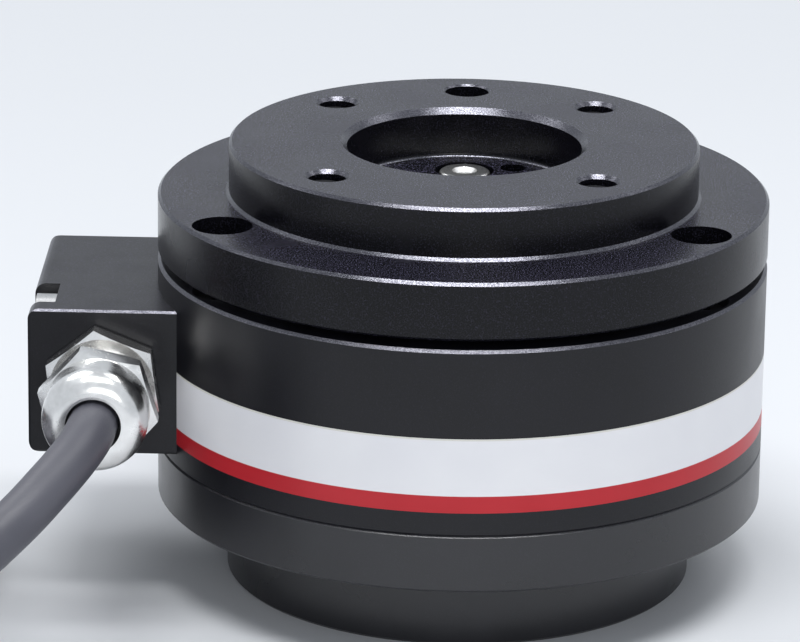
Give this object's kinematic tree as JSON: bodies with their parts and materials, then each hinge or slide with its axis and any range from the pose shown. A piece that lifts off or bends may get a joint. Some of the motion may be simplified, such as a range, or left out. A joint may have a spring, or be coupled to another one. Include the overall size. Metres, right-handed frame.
{
  "type": "six-axis force torque sensor",
  "caption": "Round robot-wrist force torque sensor: black tool flange and base on one axis, labelled housing between, side box with cable gland and a coiled cable.",
  "frame": {"origin": "centre of the mounting face under the foot, on the sensor axis", "axes": "+Z along the sensor axis from the mounting face to the tool flange, -X towards the terminal box, -Y the way the cable leaves the gland"},
  "size_m": [0.1967, 0.1064, 0.06],
  "materials": {
    "black_anodised": "fine bead-blasted, black anodised, satin",
    "bare_aluminium": "milled and turned, bare",
    "steel_screw": "stainless, turned heads",
    "black_screw": "black oxide",
    "dowel_steel": "ground",
    "rubber": "matt",
    "label_film": "glossy white film with a red stripe",
    "circuit_board": "green solder mask",
    "chip": "matt black",
    "plug_plastic": "natural nylon",
    "brass_spacer": "turned",
    "gauge_foil": "amber foil",
    "lead_red": "smooth",
    "lead_grey": "smooth",
    "nickel_plated": "nickel plated, polished",
    "cable_jacket": "fine satin polyurethane",
    "tie_plastic": "woven hook-and-loop strap",
    "sleeve_plastic": "shrunk tube",
    "core_insulation": "four colours",
    "ferrule_tin": "crimped, tinned"
  },
  "bodies": {
    "root": {"tool_flange": "black_anodised", "hub_screws": "steel_screw", "hub_dowels": "dowel_steel", "gap_ring": "rubber", "spring_element": "bare_aluminium", "strain_gauges": "gauge_foil", "gauge_leads": "lead_red", "rim_screws": "steel_screw", "sensor_housing": "black_anodised", "housing_screws": "black_screw", "label": "label_film", "seam_seal": "rubber", "base_flange": "black_anodised", "circuit_board": "circuit_board", "board_spacers": "brass_spacer", "board_screws": "steel_screw", "board_chips": "chip", "board_plug": "plug_plastic", "inner_lead": "lead_grey", "terminal_box": "black_anodised", "box_gasket": "rubber", "box_screws": "steel_screw", "gland_washer": "rubber", "gland_body": "nickel_plated", "gland_seal": "rubber", "gland_nut": "nickel_plated", "cable": "cable_jacket", "cable_coil": "cable_jacket", "coil_ties": "tie_plastic", "end_sleeve": "sleeve_plastic", "end_cores": "core_insulation", "end_ferrules": "ferrule_tin"}
  },
  "joints": []
}
